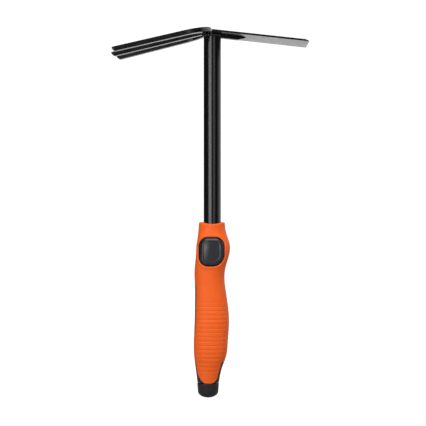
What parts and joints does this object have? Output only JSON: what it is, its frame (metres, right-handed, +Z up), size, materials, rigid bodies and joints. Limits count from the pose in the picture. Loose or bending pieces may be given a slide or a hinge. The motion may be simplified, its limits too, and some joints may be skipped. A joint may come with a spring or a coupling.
{
  "type": "hand hoe and cultivator",
  "caption": "Short one-handed hoe with a flared flat blade opposite a tined fork on a round steel shaft, plugged into a soft-grip handle with a push-button release.",
  "frame": {"origin": "middle of the pommel's flat end, on the pommel's axis; the shaft's axis is parallel and 4.4 mm towards +X", "axes": "+Z up the shaft towards the head, +X towards the blade, -X towards the fork, -Y the side with the release button"},
  "size_m": [0.2044, 0.0764, 0.384],
  "materials": {
    "black_paint": "semi-gloss black powder coat",
    "orange_grip": "matte moulded thermoplastic rubber",
    "black_nylon": "fine-grained moulded nylon",
    "black_button": "satin moulded plastic",
    "bush_plastic": "natural acetal",
    "spring_steel": "bright spring steel",
    "plated_steel": "zinc plated",
    "seal_rubber": "matte black nitrile"
  },
  "bodies": {
    "handle": {"front_shell": "black_nylon", "back_shell": "black_nylon", "grip_skin": "orange_grip", "shell_screws": "plated_steel", "lock_sleeve": "plated_steel", "upper_bush": "bush_plastic", "lower_bush": "bush_plastic", "mouth_seal": "seal_rubber", "button_bezel": "black_nylon", "button_springs": "spring_steel", "pommel_cap": "black_nylon"},
    "shaft_and_head": {"shaft_tube": "black_paint", "shaft_end_plug": "black_nylon", "snap_clip": "spring_steel", "head_weld": "black_paint", "outer_tines": "black_paint", "middle_tine": "black_paint", "hoe_blade": "black_paint", "blade_rib": "black_paint"},
    "button": {"release_button": "black_button"}
  },
  "joints": [
    {"name": "button_press", "type": "slide", "parent": "handle", "child": "button", "axis": [0, 1, 0], "range_m": [0, 0.0026], "stiffness_N_per_m": 1200, "springref_m": -0.003, "deforming": ["button_springs"]},
    {"name": "shaft_release", "type": "slide", "parent": "handle", "child": "shaft_and_head", "axis": [0, 0, 1], "range_m": [0, 0.087], "deforming": ["snap_clip"]}
  ]
}
